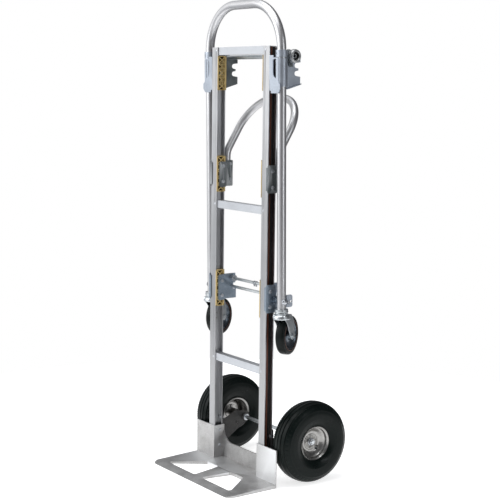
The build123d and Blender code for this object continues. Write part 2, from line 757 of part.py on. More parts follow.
with BuildPart() as collar_screws:
    with BuildSketch(Plane.XZ.offset(14.6 - TUBE_Y)):
        with Locations((TUBE_X, 1378), (-TUBE_X, 1378)):
            Circle(3)
    extrude(amount=2.6)
    cross_bar(TUBE_Y, 1378, 3, TUBE_X + TUBE_R, TUBE_X + 19, -1)
    with BuildSketch(Plane.YZ.offset(-TUBE_X - 18.5)):
        with Locations((TUBE_Y, 1378)):
            RegularPolygon(6.5, 6)
    extrude(amount=-5)
collar_screws.part.label = "collar_screws"
export_step(leaned(collar_screws.part), "parts/collar_screws.step")

# lugs behind the tubes, just above the casters
LUG_BOLT = (40.5, 595)
with BuildPart() as lugs:
    for side, s in SIDES:
        with BuildSketch(Plane.XY.offset(588)):
            with Locations((s * TUBE_X, TUBE_Y)):
                Circle(TUBE_R + 3)
                Circle(TUBE_R, mode=Mode.SUBTRACT)
            with Locations((s * TUBE_X, TUBE_Y - 15)):
                Rectangle(60, 50, mode=Mode.SUBTRACT)
        extrude(amount=32)
        with BuildSketch(Plane.YZ.offset(s * 196)):
            with Locations((41.5, 599)):
                RectangleRounded(34, 40, 7)
            with Locations((53, 597)):
                Circle(4, mode=Mode.SUBTRACT)
        extrude(amount=s * 4)
        with BuildSketch(Plane.XY.offset(560)):
            with Locations((s * TUBE_X, TUBE_Y)):
                Circle(TUBE_R)
        extrude(amount=80, mode=Mode.SUBTRACT)
        cross_hole(*LUG_BOLT, 3.05, 190, 205, s)
lugs.part.label = "tube_lugs"
export_step(leaned(lugs.part), "parts/tube_lugs.step")

with BuildPart() as lug_bolts:
    for side, s in SIDES:
        cross_bar(*LUG_BOLT, 3, 193, 200, s)
        with BuildSketch(Plane.YZ.offset(s * 200)):
            with Locations(LUG_BOLT):
                RegularPolygon(6, 6)
        extrude(amount=s * 4.5)
        with BuildSketch(Plane.YZ.offset(s * 196)):
            with Locations(LUG_BOLT):
                RegularPolygon(5.5, 6)
        extrude(amount=-s * 4)
lug_bolts.part.label = "lug_bolts"
export_step(leaned(lug_bolts.part), "parts/lug_bolts.step")

with BuildPart() as seats:
    for side, s in SIDES:
        with BuildSketch(Plane.XY.offset(SEAT_Z)):
            with Locations((s * TUBE_X, TUBE_Y)):
                Circle(21.5)
        extrude(amount=TUBE_BOTTOM - SEAT_Z)
        with BuildSketch(Plane.XY.offset(TUBE_BOTTOM)):
            with Locations((s * TUBE_X, TUBE_Y)):
                Circle(TUBE_R - TUBE_WALL)
        extrude(amount=9)
        with BuildSketch(Plane.XY.offset(SEAT_Z - 7)):
            with Locations((s * TUBE_X, TUBE_Y)):
                Circle(6 + RUNNING)
        extrude(amount=22, mode=Mode.SUBTRACT)
seats.part.label = "caster_seats"
export_step(leaned(seats.part), "parts/caster_seats.step")

# ---------------------------------------------------------------- casters

for side, s in SIDES:
    turn = radians(CASTER_TURN[side])
    # local x is the caster's axle, local y the way it trails
    stem = Plane(origin=(s * TUBE_X, TUBE_Y, 0), x_dir=(cos(turn), sin(turn), 0), z_dir=(0, 0, 1))
    cheek = Plane(origin=stem.origin, x_dir=stem.y_dir, z_dir=stem.x_dir)
    axle_point = stem.from_local_coords(Vector(0, CASTER_TRAIL, CASTER_Z))
    spin_plane = Plane(origin=axle_point, x_dir=stem.x_dir, z_dir=stem.y_dir * -1)
    spin_axis = Axis(axle_point, stem.x_dir)

    with BuildPart() as fork:
        with BuildSketch(stem.offset(SEAT_Z - 8.5)):
            Circle(21.5)
        extrude(amount=8.1)
        with BuildSketch(stem.offset(SEAT_Z - 1)):
            Circle(6)
        extrude(amount=15)
        with BuildSketch(stem.offset(DOME_Z)):
            Circle(26)
        extrude(amount=12.5)
        with BuildSketch(stem.offset(DOME_Z)):
            Circle(21)
        extrude(amount=8, mode=Mode.SUBTRACT)
        for near in (-21.1, 17.6):
            with BuildSketch(cheek.offset(near)):
                with BuildLine():
                    Polyline(
                        (-17, DOME_Z + 10), (20, DOME_Z + 10), (50, DOME_Z + 4), (58, DOME_Z - 3),
                        (58, CASTER_Z), (30, CASTER_Z), (20, 500), (5, 515), (-12, 534),
                        (-19, DOME_Z - 3), (-17, DOME_Z + 10)
                    )
                make_face()
                with Locations((CASTER_TRAIL, CASTER_Z)):
                    Circle(14)
            extrude(amount=3.5)
        with BuildSketch(cheek.offset(-30)):
            with Locations((CASTER_TRAIL, CASTER_Z)):
                Circle(5.05)
        extrude(amount=60, mode=Mode.SUBTRACT)
    fork.part.label = f"caster_fork_{side}"
    export_step(leaned(fork.part), f"parts/caster_fork_{side}.step")

    with BuildPart() as caster_axle:
        with BuildSketch(cheek.offset(-22)):
            with Locations((CASTER_TRAIL, CASTER_Z)):
                Circle(5)
        extrude(amount=44)
        for near, far in ((21.1, 5), (-21.1, -5)):
            with BuildSketch(cheek.offset(near)):
                with Locations((CASTER_TRAIL, CASTER_Z)):
                    RegularPolygon(8, 6)
            extrude(amount=far)
    caster_axle.part.label = f"caster_axle_{side}"
    export_step(leaned(caster_axle.part), f"parts/caster_axle_{side}.step")

    with BuildPart() as tread:
        with BuildSketch(spin_plane):
            with BuildLine():
                Line((-15, 47), (-15, 58))
                ThreePointArc((-15, 58), (-13.4, 61.9), (-9.5, CASTER_R))
                Line((-9.5, CASTER_R), (9.5, CASTER_R))
                ThreePointArc((9.5, CASTER_R), (13.4, 61.9), (15, 58))
                Line((15, 58), (15, 47))
                Line((15, 47), (-15, 47))
            make_face()
        revolve(axis=spin_axis)
    tread.part.label = f"caster_tread_{side}"
    export_step(leaned(tread.part), f"parts/caster_tread_{side}.step")

    with BuildPart() as caster_hub:
        with BuildSketch(spin_plane):
            with BuildLine():
                bore = 5 + RUNNING
                Polyline(
                    (-17.2, bore), (-17.2, 13), (-6, 15), (-5, 40), (-13, 43), (-13, 47), (13, 47), (13, 43),
                    (5, 40), (6, 15), (17.2, 13), (17.2, bore), (-17.2, bore)
                )
            make_face()
        revolve(axis=spin_axis)
    caster_hub.part.label = f"caster_hub_{side}"
    export_step(leaned(caster_hub.part), f"parts/caster_hub_{side}.step")

# ---------------------------------------------------------------- brace loop

BRACE_BOLTS = ((38, 967), (38, 1019))
with BuildPart() as middle_blocks:
    for side, s in SIDES:
        guide_block(*MIDDLE_BLOCK, s)
        for z in (961, 1012):
            cross_hole(6, z, 3.05, 120, 141, s)
            cross_hole(0, z, 3.05, 145, 160, s)
middle_blocks.part.label = "guide_blocks_middle"
export_step(middle_blocks.part, "parts/guide_blocks_middle.step")

for side, s in SIDES:
    with BuildPart() as brace_bracket:
        rail_clip(942, 1031, s)
        with BuildSketch(Plane.YZ.offset(s * 125.4)):
            with Locations((33, 988)):
                RectangleRounded(30, 86, 3)
        extrude(amount=s * 3)
        with BuildSketch(Plane.YZ.offset(s * 153.6)):
            with Locations((33, 988)):
                RectangleRounded(30, 86, 3)
        extrude(amount=s * 3)
        for z in (961, 1012):
            cross_hole(6, z, 3.05, 118, 126, s)
            cross_hole(0, z, 3.05, 158, 165, s)
        for y, z in BRACE_BOLTS:
            cross_hole(y, z, 3.05, 124, 158, s)
    brace_bracket.part.label = f"brace_bracket_{side}"
    export_step(brace_bracket.part, f"parts/brace_bracket_{side}.step")

with BuildPart() as brace_bolts:
    for side, s in SIDES:
        for z in (961, 1012):
            for y, a, b, head in ((6, 117.4, 138, 120.9), (0, 165.9, 148, 162.4)):
                cross_bar(y, z, 6, a, head, s)
                cross_bar(y, z, 3, head, b, s)
        for y, z in BRACE_BOLTS:
            cross_bar(y, z, 3, 122, 160, s)
            cross_bar(y, z, 5.5, 121.9, 125.4, s)
            cross_bar(y, z, 5.5, 156.6, 160, s)
brace_bolts.part.label = "brace_bolts"
export_step(brace_bolts.part, "parts/brace_bolts.step")

with BuildPart() as brace:
    lean = radians(BRACE_LEAN)
    top_y = BRACE_Y + BRACE_LENGTH * sin(lean)
    top_z = BRACE_KNEE + BRACE_LENGTH * cos(lean)
    with BuildLine() as brace_line:
        bent_path(
            (
                (-BRACE_X, BRACE_Y, BRACE_BOTTOM), (-BRACE_X, BRACE_Y, BRACE_KNEE), (-BRACE_X, top_y, top_z),
                (BRACE_X, top_y, top_z), (BRACE_X, BRACE_Y, BRACE_KNEE), (BRACE_X, BRACE_Y, BRACE_BOTTOM)
            ),
            (60, BRACE_BEND, BRACE_BEND, 60),
        )
    with BuildSketch(Plane((-BRACE_X, BRACE_Y, BRACE_BOTTOM))):
        Circle(BRACE_R)
        Circle(BRACE_R - 2, mode=Mode.SUBTRACT)
    sweep(path=brace_line.wires()[0])
    for side, s in SIDES:
        for y, z in BRACE_BOLTS:
            cross_hole(y, z, 3.05, 120, 160, s)
brace.part.label = "brace_loop"
export_step(brace.part, "parts/brace_loop.step")
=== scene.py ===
"""Looks of the convertible hand truck.

The camera, the studio, the materials, and the detailed pieces that replace plain CAD nodes. Lengths in the
profiles and outlines below are in millimetres; MM turns them into the scene's metres.
"""
import json
import math

import bmesh
import bpy
from mathutils import Matrix, Vector

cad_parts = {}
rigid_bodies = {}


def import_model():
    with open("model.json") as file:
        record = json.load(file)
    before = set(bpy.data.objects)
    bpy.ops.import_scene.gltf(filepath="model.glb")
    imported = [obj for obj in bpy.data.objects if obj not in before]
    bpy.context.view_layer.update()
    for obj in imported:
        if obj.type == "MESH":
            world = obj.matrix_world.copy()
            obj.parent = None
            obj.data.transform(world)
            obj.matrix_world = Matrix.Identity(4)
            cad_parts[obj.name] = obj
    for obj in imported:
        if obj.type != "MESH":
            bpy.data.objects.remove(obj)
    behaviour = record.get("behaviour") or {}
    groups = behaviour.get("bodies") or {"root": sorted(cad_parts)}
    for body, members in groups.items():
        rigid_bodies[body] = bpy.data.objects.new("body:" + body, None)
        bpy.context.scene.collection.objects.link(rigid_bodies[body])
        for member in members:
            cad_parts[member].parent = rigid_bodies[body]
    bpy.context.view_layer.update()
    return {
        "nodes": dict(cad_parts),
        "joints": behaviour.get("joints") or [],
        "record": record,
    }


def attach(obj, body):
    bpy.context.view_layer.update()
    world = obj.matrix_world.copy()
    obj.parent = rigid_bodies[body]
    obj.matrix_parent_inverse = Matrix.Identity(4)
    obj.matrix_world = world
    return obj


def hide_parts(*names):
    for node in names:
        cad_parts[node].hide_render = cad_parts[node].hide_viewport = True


for startup_object in list(bpy.data.objects):
    bpy.data.objects.remove(startup_object)
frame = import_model()
NODES = frame["nodes"]
SIDES = (("left", -1), ("right", 1))
MM = 0.001
TINY = 1e-6

# ---------------------------------------------------------------- camera, floor and light

CAMERA_AT = (3.2453, -2.3059, 1.2674)
CAMERA_YAW = 54.22
CAMERA_PITCH = 7.49
CAMERA_ROLL = 0.71
CAMERA_LENS = 88.07
SENSOR_WIDTH = 36
BRIGHT_WAY = (-0.62, -0.66, 0.42)
STUDIO_TONES = (
    (0.0, (0.11, 0.11, 0.115)), (0.30, (0.26, 0.26, 0.27)),
    (0.70, (0.62, 0.635, 0.66)), (1.0, (1.0, 1.0, 1.0)),
)
TRUCK_MIDDLE = (0, 0, 0.8)
FLOOR_RADIUS = 1.7
FLOOR_GLOW = 0.74


def add_camera():
    data = bpy.data.cameras.new("camera")
    data.lens = CAMERA_LENS
    data.sensor_width = SENSOR_WIDTH
    camera = bpy.data.objects.new("camera", data)
    bpy.context.scene.collection.objects.link(camera)
    turn = Matrix.Rotation(math.radians(CAMERA_YAW), 4, "Z")
    tilt = Matrix.Rotation(math.radians(90 - CAMERA_PITCH), 4, "X")
    roll = Matrix.Rotation(math.radians(CAMERA_ROLL), 4, "Z")
    camera.matrix_world = Matrix.Translation(CAMERA_AT) @ turn @ tilt @ roll
    bpy.context.scene.camera = camera


def add_softbox(name, place, size, power, colour=(1, 1, 1)):
    """A rectangular light that points at the middle of the truck."""
    data = bpy.data.lights.new(name, "AREA")
    data.shape = "RECTANGLE"
    data.size, data.size_y = size
    data.energy = power
    data.color = colour
    light = bpy.data.objects.new(name, data)
    light.location = place
    aim = Vector(TRUCK_MIDDLE) - Vector(place)
    light.rotation_euler = aim.to_track_quat("-Z", "Y").to_euler()
    bpy.context.scene.collection.objects.link(light)


def add_studio():
    """White to the eye, but what the metal reflects is bright in front and above and dim to the sides."""
    scene = bpy.context.scene
    scene.view_settings.view_transform = "Standard"
    world = bpy.data.worlds.new("studio")
    scene.world = world
    world.use_nodes = True
    tree = world.node_tree
    tree.nodes.clear()
    out = tree.nodes.new("ShaderNodeOutputWorld")
    sky = tree.nodes.new("ShaderNodeBackground")
    seen = tree.nodes.new("ShaderNodeBackground")
    seen.inputs["Color"].default_value = (1, 1, 1, 1)
    path = tree.nodes.new("ShaderNodeLightPath")
    mix = tree.nodes.new("ShaderNodeMixShader")
    coord = tree.nodes.new("ShaderNodeTexCoord")
    facing = tree.nodes.new("ShaderNodeVectorMath")
    facing.operation = "DOT_PRODUCT"
    facing.inputs[1].default_value = BRIGHT_WAY
    tree.links.new(coord.outputs["Generated"], facing.inputs[0])
    tree.links.new(add_ramp(tree, facing.outputs["Value"], STUDIO_TONES), sky.inputs["Color"])
    sky.inputs["Strength"].default_value = 1.0
    tree.links.new(path.outputs["Is Camera Ray"], mix.inputs[0])
    tree.links.new(sky.outputs[0], mix.inputs[1])
    tree.links.new(seen.outputs[0], mix.inputs[2])
    tree.links.new(mix.outputs[0], out.inputs[0])
    add_softbox("front_box", (-1.4, -3.4, 2.2), (2.2, 2.6), 55)
    add_softbox("right_box", (3.4, 0.9, 1.3), (0.5, 2.6), 20, (0.96, 0.98, 1.0))
    add_softbox("top_box", (0.2, -0.6, 3.6), (2.2, 2.2), 40)


def add_floor():
    """A plain pale disc, no wider than it needs to be, so that the metal doesn't mirror it."""
    bm = bmesh.new()
    bmesh.ops.create_circle(bm, cap_ends=True, segments=96, radius=FLOOR_RADIUS)
    mesh = bpy.data.meshes.new("floor")
    bm.to_mesh(mesh)
    bm.free()
    floor = bpy.data.objects.new("floor", mesh)
    bpy.context.scene.collection.objects.link(floor)
    material = bpy.data.materials.new("floor_white")
    material.use_nodes = True
    shader = material.node_tree.nodes["Principled BSDF"]
    shader.inputs["Base Color"].default_value = (0.85, 0.85, 0.85, 1)
    shader.inputs["Roughness"].default_value = 0.9
    shader.inputs["Specular IOR Level"].default_value = 0.1
    shader.inputs["Emission Color"].default_value = (1, 1, 1, 1)
    shader.inputs["Emission Strength"].default_value = FLOOR_GLOW
    mesh.materials.append(material)


# ---------------------------------------------------------------- materials


def add_mapping(tree, stretch):
    coord = tree.nodes.new("ShaderNodeTexCoord")
    mapping = tree.nodes.new("ShaderNodeMapping")
    mapping.inputs["Scale"].default_value = stretch
    tree.links.new(coord.outputs["Object"], mapping.inputs["Vector"])
    return mapping.outputs["Vector"]


def add_noise(tree, vector, scale, detail):
    noise = tree.nodes.new("ShaderNodeTexNoise")
    noise.inputs["Scale"].default_value = scale
    noise.inputs["Detail"].default_value = detail
    noise.inputs["Roughness"].default_value = 0.55
    tree.links.new(vector, noise.inputs["Vector"])
    return noise.outputs["Fac"]


def add_ramp(tree, fac, stops):
    """A colour ramp with a (place, colour) pair for each stop."""
    ramp = tree.nodes.new("ShaderNodeValToRGB")
    while len(ramp.color_ramp.elements) < len(stops):
        ramp.color_ramp.elements.new(0.5)
    for element, (place, colour) in zip(ramp.color_ramp.elements, stops):
        element.position = place
        element.color = (*colour, 1)
    tree.links.new(fac, ramp.inputs[0])
    return ramp.outputs[0]


def add_range(tree, fac, low, high):
    """Spread the middle of a noise over low to high."""
    spread = tree.nodes.new("ShaderNodeMapRange")
    spread.inputs["From Min"].default_value = 0.3
    spread.inputs["From Max"].default_value = 0.7
    spread.inputs["To Min"].default_value = low
    spread.inputs["To Max"].default_value = high
    tree.links.new(fac, spread.inputs["Value"])
    return spread.outputs[0]


def add_bump(tree, height, strength, distance):
    bump = tree.nodes.new("ShaderNodeBump")
    bump.inputs["Strength"].default_value = strength
    bump.inputs["Distance"].default_value = distance
    tree.links.new(height, bump.inputs["Height"])
    return bump.outputs[0]


def add_wear_and_painted_highlight(tree, colour, edge):
    """Mix in a colour where the surface is pointed: partly real wear on the edges, partly a painted highlight
    along them.
    """
    geometry = tree.nodes.new("ShaderNodeNewGeometry")
    wear_and_highlight = add_ramp(tree, geometry.outputs["Pointiness"], ((0.52, (0, 0, 0)), (0.60, (1, 1, 1))))
    mix = tree.nodes.new("ShaderNodeMix")
    mix.data_type = "RGBA"
    tree.links.new(wear_and_highlight, mix.inputs["Factor"])
    tree.links.new(colour, mix.inputs[6])
    mix.inputs[7].default_value = (*edge, 1)
    return mix.outputs[2]


def add_fade(tree, colour, height, share):
    """Painted shade: darken the colour from a height in metres downwards, to a share of itself at the floor,
    as if less light reached the lower part.
    """
    coord = tree.nodes.new("ShaderNodeTexCoord")
    split = tree.nodes.new("ShaderNodeSeparateXYZ")
    tree.links.new(coord.outputs["Object"], split.inputs[0])
    shade_share = tree.nodes.new("ShaderNodeMapRange")
    shade_share.inputs["From Max"].default_value = height
    shade_share.inputs["To Min"].default_value = share
    tree.links.new(split.outputs["Z"], shade_share.inputs["Value"])
    scale = tree.nodes.new("ShaderNodeVectorMath")
    scale.operation = "SCALE"
    tree.links.new(colour, scale.inputs[0])
    tree.links.new(shade_share.outputs[0], scale.inputs["Scale"])
    return scale.outputs[0]


def surface(name, dark, light, metallic, rough, grain, bump, stretch=(1, 1, 1), blotch=9.0, shine=0.5,
            edge=None, fade=None):
    """A finish with two scales of variation: a grain that may be stretched into lines, and soft blotches.

    rough is (low, high), bump is (strength, distance), edge is a colour for worn edges that also paints a
    highlight on them, and fade is the (height, share) that add_fade takes, a painted shade towards the floor."""
    material = bpy.data.materials.new(name)
    material.use_nodes = True
    tree = material.node_tree
    shader = tree.nodes["Principled BSDF"]
    shader.inputs["Metallic"].default_value = metallic
    shader.inputs["Specular IOR Level"].default_value = shine
    lines = add_noise(tree, add_mapping(tree, stretch), grain, 6.0)
    clouds = add_noise(tree, add_mapping(tree, (1, 1, 1)), blotch, 3.0)
    tone = tree.nodes.new("ShaderNodeMix")
    tone.data_type = "FLOAT"
    tone.inputs["Factor"].default_value = 0.45
    tree.links.new(lines, tone.inputs[2])
    tree.links.new(clouds, tone.inputs[3])
    colour = add_ramp(tree, tone.outputs[0], ((0.32, dark), (0.68, light)))
    # Pointed edges get a lighter colour, partly wear and partly a painted highlight.
    if edge is not None:
        colour = add_wear_and_painted_highlight(tree, colour, edge)
    # Painted shade: the colour is darkened below a height, towards the floor.
    if fade is not None:
        colour = add_fade(tree, colour, *fade)
    tree.links.new(colour, shader.inputs["Base Color"])
    tree.links.new(add_range(tree, clouds, *rough), shader.inputs["Roughness"])
    tree.links.new(add_bump(tree, lines, *bump), shader.inputs["Normal"])
    return material


def make_materials():
    made = {}

    def keep(name, *args, **kw):
        made[name] = surface(name, *args, **kw)

    # The rails' colour is darkened towards the floor as painted shade, for light that falls from above.
    keep("rail_aluminium", (0.54, 0.545, 0.555), (0.74, 0.75, 0.77), 1.0, (0.30, 0.38), 1.0, (0.05, 0.0003),
         stretch=(900, 900, 5), blotch=5.0, fade=(1.15, 0.52))
    keep("bar_aluminium", (0.52, 0.54, 0.57), (0.66, 0.68, 0.71), 1.0, (0.54, 0.62), 400.0, (0.01, 0.0001),
         blotch=14.0)
    keep("tube_aluminium", (0.60, 0.60, 0.61), (0.72, 0.725, 0.74), 1.0, (0.37, 0.42), 400.0, (0.006, 0.0001),
         blotch=5.0)
    # The nose plate's light edge colour is mostly a painted highlight along its edges and fillets.
    keep("cast_aluminium", (0.31, 0.305, 0.30), (0.60, 0.60, 0.60), 0.85, (0.42, 0.56), 520.0, (0.45, 0.0007),
         blotch=22.0, edge=(0.80, 0.81, 0.82))
    keep("zinc_fixings", (0.42, 0.44, 0.47), (0.66, 0.68, 0.71), 1.0, (0.30, 0.42), 200.0, (0.02, 0.0001),
         blotch=90.0)
    keep("zinc_plate", (0.40, 0.44, 0.50), (0.58, 0.63, 0.70), 1.0, (0.46, 0.56), 300.0, (0.02, 0.0001),
         blotch=22.0)
    keep("dull_zinc", (0.20, 0.245, 0.295), (0.36, 0.42, 0.49), 1.0, (0.40, 0.52), 300.0, (0.02, 0.0001),
         blotch=26.0)
    keep("dark_plate", (0.095, 0.108, 0.112), (0.21, 0.232, 0.24), 0.95, (0.40, 0.52), 300.0, (0.06, 0.0002),
         blotch=40.0, edge=(0.50, 0.52, 0.53))
    keep("bright_zinc", (0.50, 0.54, 0.56), (0.70, 0.73, 0.75), 1.0, (0.28, 0.38), 120.0, (0.02, 0.0001),
         blotch=26.0)
    keep("cast_eye", (0.30, 0.31, 0.31), (0.56, 0.57, 0.58), 0.9, (0.34, 0.50), 700.0, (0.30, 0.0004),
         blotch=90.0)
    keep("black_paint", (0.018, 0.0175, 0.017), (0.055, 0.053, 0.052), 0.0, (0.30, 0.44), 260.0,
         (0.08, 0.0003), blotch=30.0, shine=0.3, edge=(0.16, 0.15, 0.14))
    keep("nylon_block", (0.40, 0.26, 0.07), (0.72, 0.52, 0.20), 0.0, (0.34, 0.50), 500.0, (0.15, 0.0003),
         blotch=60.0, edge=(0.85, 0.66, 0.30))
    # Painted shade: near-black nylon for the blocks' deep pockets.
    keep("pocket_painted_shade", (0.020, 0.014, 0.006), (0.060, 0.042, 0.018), 0.0, (0.50, 0.66), 500.0,
         (0.15, 0.0003), blotch=60.0, shine=0.2)
    keep("tyre_rubber", (0.0016, 0.0040, 0.0035), (0.0046, 0.0086, 0.0078), 0.0, (0.26, 0.40), 800.0,
         (0.14, 0.0003), blotch=22.0, shine=0.14)
    keep("caster_rubber", (0.0020, 0.0038, 0.0036), (0.0050, 0.0080, 0.0076), 0.0, (0.36, 0.50), 700.0,
         (0.08, 0.0002), blotch=40.0, shine=0.16)
    keep("rim_paint", (0.28, 0.275, 0.265), (0.43, 0.425, 0.415), 1.0, (0.26, 0.34), 160.0, (0.015, 0.0001),
         blotch=18.0)
    keep("caster_centre", (0.055, 0.068, 0.08), (0.17, 0.20, 0.235), 0.9, (0.24, 0.34), 200.0, (0.03, 0.0002),
         blotch=40.0)
    keep("red_line", (0.14, 0.05, 0.035), (0.30, 0.12, 0.08), 0.0, (0.5, 0.6), 500.0, (0.1, 0.0003))
    # A painted reflection: the brown that the rails' channel webs mirror.
    keep("painted_brown_reflection", (0.060, 0.024, 0.016), (0.21, 0.068, 0.040), 0.0, (0.40, 0.55), 1.0, (0.06, 0.0002),
         stretch=(420, 420, 4), blotch=5.0, shine=0.3)
    # Painted shade: near-black for shadowed recesses.
    keep("painted_shade_black", (0.006, 0.006, 0.006), (0.018, 0.017, 0.016), 0.0, (0.40, 0.55), 1.0, (0.08, 0.0002),
         stretch=(700, 700, 6), shine=0.3)
    return made


FINISH = make_materials()

# ---------------------------------------------------------------- mesh helpers


def finish_piece(name, bm, material, body, *replaced, slot=None, sharp=38):
    """Turn a bmesh into a piece that rides on a body, with edges sharper than the angle kept sharp."""
    bmesh.ops.remove_doubles(bm, verts=bm.verts, dist=TINY)
    bmesh.ops.recalc_face_normals(bm, faces=bm.faces)
    limit = math.radians(sharp)
    for edge in bm.edges:
        edge.smooth = not (len(edge.link_faces) == 2 and edge.calc_face_angle(0) > limit)
    for face in bm.faces:
        face.smooth = True
    mesh = bpy.data.meshes.new(name)
    bm.to_mesh(mesh)
    bm.free()
    mesh.materials.append(FINISH[material])
    piece = bpy.data.objects.new(name, mesh)
    bpy.context.scene.collection.objects.link(piece)
    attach(piece, body)
    if replaced:
        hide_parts(*replaced)
    return piece


def axis_frame(origin, axis):
    """A matrix whose local X runs along the axis."""
    x = Vector(axis).normalized()
    up = Vector((0, 0, 1)) if abs(x.z) < 0.9 else Vector((0, 1, 0))
    y = up.cross(x).normalized()
    z = x.cross(y)
    rotation = Matrix((x, y, z)).transposed().to_4x4()
    return Matrix.Translation(origin) @ rotation


def hexagon(angle, corner):
    """The radius of a hexagon with that corner radius, at an angle."""
    flat = corner * math.cos(math.radians(30))
    return flat / math.cos((angle % math.radians(60)) - math.radians(30))


def plain(profile):
    """Round rings from (along, radius) pairs."""
    return [(along, radius, 0) for along, radius in profile]


def lathe(bm, origin, axis, rings, count=48, closed=False, wave=None):
    """Turn rings (along, radius, hex corner or 0) about an axis.

    wave(i, k) may give (shift along, change of radius) for ring i at step k of the turn."""
    place = axis_frame(origin, axis)
    loops = []
    for i, (along, radius, corner) in enumerate(rings):
        loop = []
        for k in range(count):
            angle = 2 * math.pi * k / count
            r = min(radius, hexagon(angle, corner)) if corner else radius
            shift = 0.0
            if wave:
                shift, change = wave(i, k)
                r += change
            local = Vector((along + shift, r * math.cos(angle), r * math.sin(angle))) * MM
            loop.append(bm.verts.new(place @ local))
        loops.append(loop)
    pairs = list(zip(loops, loops[1:]))
    if closed:
        pairs.append((loops[-1], loops[0]))
    for a, b in pairs:
        for k in range(count):
            n = (k + 1) % count
            bm.faces.new((a[k], a[n], b[n], b[k]))
    if not closed:
        bm.faces.new(loops[0][::-1])
        bm.faces.new(loops[-1])


def add_block(bm, low, high, bevel=0.6):
    """A box between two corners in millimetres, with bevelled edges."""
    low, high = Vector(low) * MM, Vector(high) * MM
    made = bmesh.ops.create_cube(bm, size=1.0)
    size = high - low
    bmesh.ops.scale(bm, vec=size, verts=made["verts"])
    bmesh.ops.translate(bm, vec=(low + high) / 2, verts=made["verts"])
    edges = {e for v in made["verts"] for e in v.link_edges}
    bmesh.ops.bevel(bm, geom=list(edges), offset=bevel * MM, segments=2, affect="EDGES", profile=0.7)


def add_rib(bm, a, b, width, depth, s):
    """A straight rib in a YZ plane from a to b, each (x, y, z), reaching depth along s."""
    a, b = Vector(a) * MM, Vector(b) * MM
    run = b - a
    across = Vector((1, 0, 0)).cross(run).normalized() * width * MM / 2
    far = Vector((s * depth * MM, 0, 0))
    corners = [a - across, a + across, b + across, b - across]
    front = [bm.verts.new(c) for c in corners]
    back = [bm.verts.new(c + far) for c in corners]
    bm.faces.new(front)
    bm.faces.new(back[::-1])
    for k in range(4):
        n = (k + 1) % 4
        bm.faces.new((front[n], front[k], back[k], back[n]))


def joint_of(name):
    """The record's joint of that name."""
    return next(joint for joint in frame["joints"] if joint["name"] == name)


def solids(node):
    """The box of each separate solid of a CAD node, in millimetres."""
    bm = bmesh.new()
    bm.from_mesh(NODES[node].data)
    bmesh.ops.remove_doubles(bm, verts=bm.verts, dist=TINY)
    left = set(bm.verts)
    boxes = []
    while left:
        stack = [left.pop()]
        found = []
        while stack:
            vert = stack.pop()
            found.append(vert.co)
            for edge in vert.link_edges:
                other = edge.other_vert(vert)
                if other in left:
                    left.discard(other)
                    stack.append(other)
        low = Vector([min(c[i] for c in found) for i in range(3)]) / MM
        high = Vector([max(c[i] for c in found) for i in range(3)]) / MM
        boxes.append((low, high))
    bm.free()
    return sorted(boxes, key=lambda b: tuple(b[0]))


# ---------------------------------------------------------------- fasteners

# A radius that only the hexagon limits, the radius of a bolt's shank, and |x| inside a rail's web.
BIG = 1000.0
SHANK = 2.9
WEB_X = 143.0


def hex_rings(start, height, corner, facing=1):
    """Rings of a hexagon head or nut, chamfered on its free side."""
    chamfer = 0.16 * corner
    flat = corner * math.cos(math.radians(30))
    rings = [(start, BIG, corner), (start + facing * (height - chamfer), BIG, corner),
             (start + facing * height, flat * 0.96, corner)]
    return rings


def dome_rings(start, height, radius, facing=1):
    """Rings of a domed head."""
    steps = 5
    rings = [(start, radius, 0)]
    for k in range(1, steps + 1):
        a = math.radians(90) * k / (steps + 0.4)
        rings.append((start + facing * height * math.sin(a), radius * math.cos(a), 0))
    return rings


def bolt(bm, origin, axis, length, head, nut=None):
    """A bolt: origin is under the head, and axis points from the head's free end into the shank.

    head is (kind, radius, height), and nut is that with its distance from the origin."""
    kind, radius, height = head
    top = hex_rings(0, height, radius, -1) if kind == "hex" else dome_rings(0, height, radius, -1)
    if kind == "hex":
        lathe(bm, origin, axis, [(-0.01, radius * 1.02, 0), (0.6, radius * 1.02, 0)], 36)
        lathe(bm, origin, axis, [(-height + 0.3, radius * 0.5, 0), (-height - 0.25, radius * 0.42, 0)], 36)
    lathe(bm, origin, axis, top, 36)
    if length > 0:
        lathe(bm, origin, axis, [(0, SHANK, 0), (length - 0.6, SHANK, 0), (length, SHANK * 0.8, 0)], 24)
    if nut:
        kind, radius, height, at = nut
        rings = hex_rings(at, height, radius, 1) if kind == "hex" else dome_rings(at, height, radius, 1)
        lathe(bm, origin, axis, rings, 36)


def inner_end(low, high):
    """The side that a solid is on, and the middle of its inner end."""
    s = 1 if low.x > 0 else -1
    middle = (low + high) / 2
    return s, Vector((s * min(abs(low.x), abs(high.x)), middle.y, middle.z))


def cross_bolts(name, node, body, plan, finish="zinc_fixings"):
    """Bolts along X. plan(near, far) takes their ends' |x| and gives (head's end, other end, head, nut)."""
    bm = bmesh.new()
    for low, high in solids(node):
        middle = (low + high) / 2
        s = 1 if middle.x > 0 else -1
        near, far = sorted((abs(low.x), abs(high.x)))
        start, end, head, nut = plan(near, far)
        direction = s if end > start else -s
        inset = head[2]
        length = abs(end - start) - inset
        origin = Vector((s * start + direction * inset, middle.y, middle.z)) * MM
        if nut:
            kind, radius, height, gap = nut
            nut = (kind, radius, height, length - height - gap)
        bolt(bm, origin, (direction, 0, 0), length, head, nut)
    return finish_piece(name, bm, finish, body, node)


def bracket_plan(near, far):
    """A bracket's bolts: long ones go through the brace tube, short ones into a block from either side."""
    if far - near > 30:
        return near, far, ("hex", 5.5, 3.5), ("hex", 5.5, 3.0, 0.4)
    ends = (near, far) if far < WEB_X else (far, near)
    return ends + (("hex", 6.0, 3.5), None)


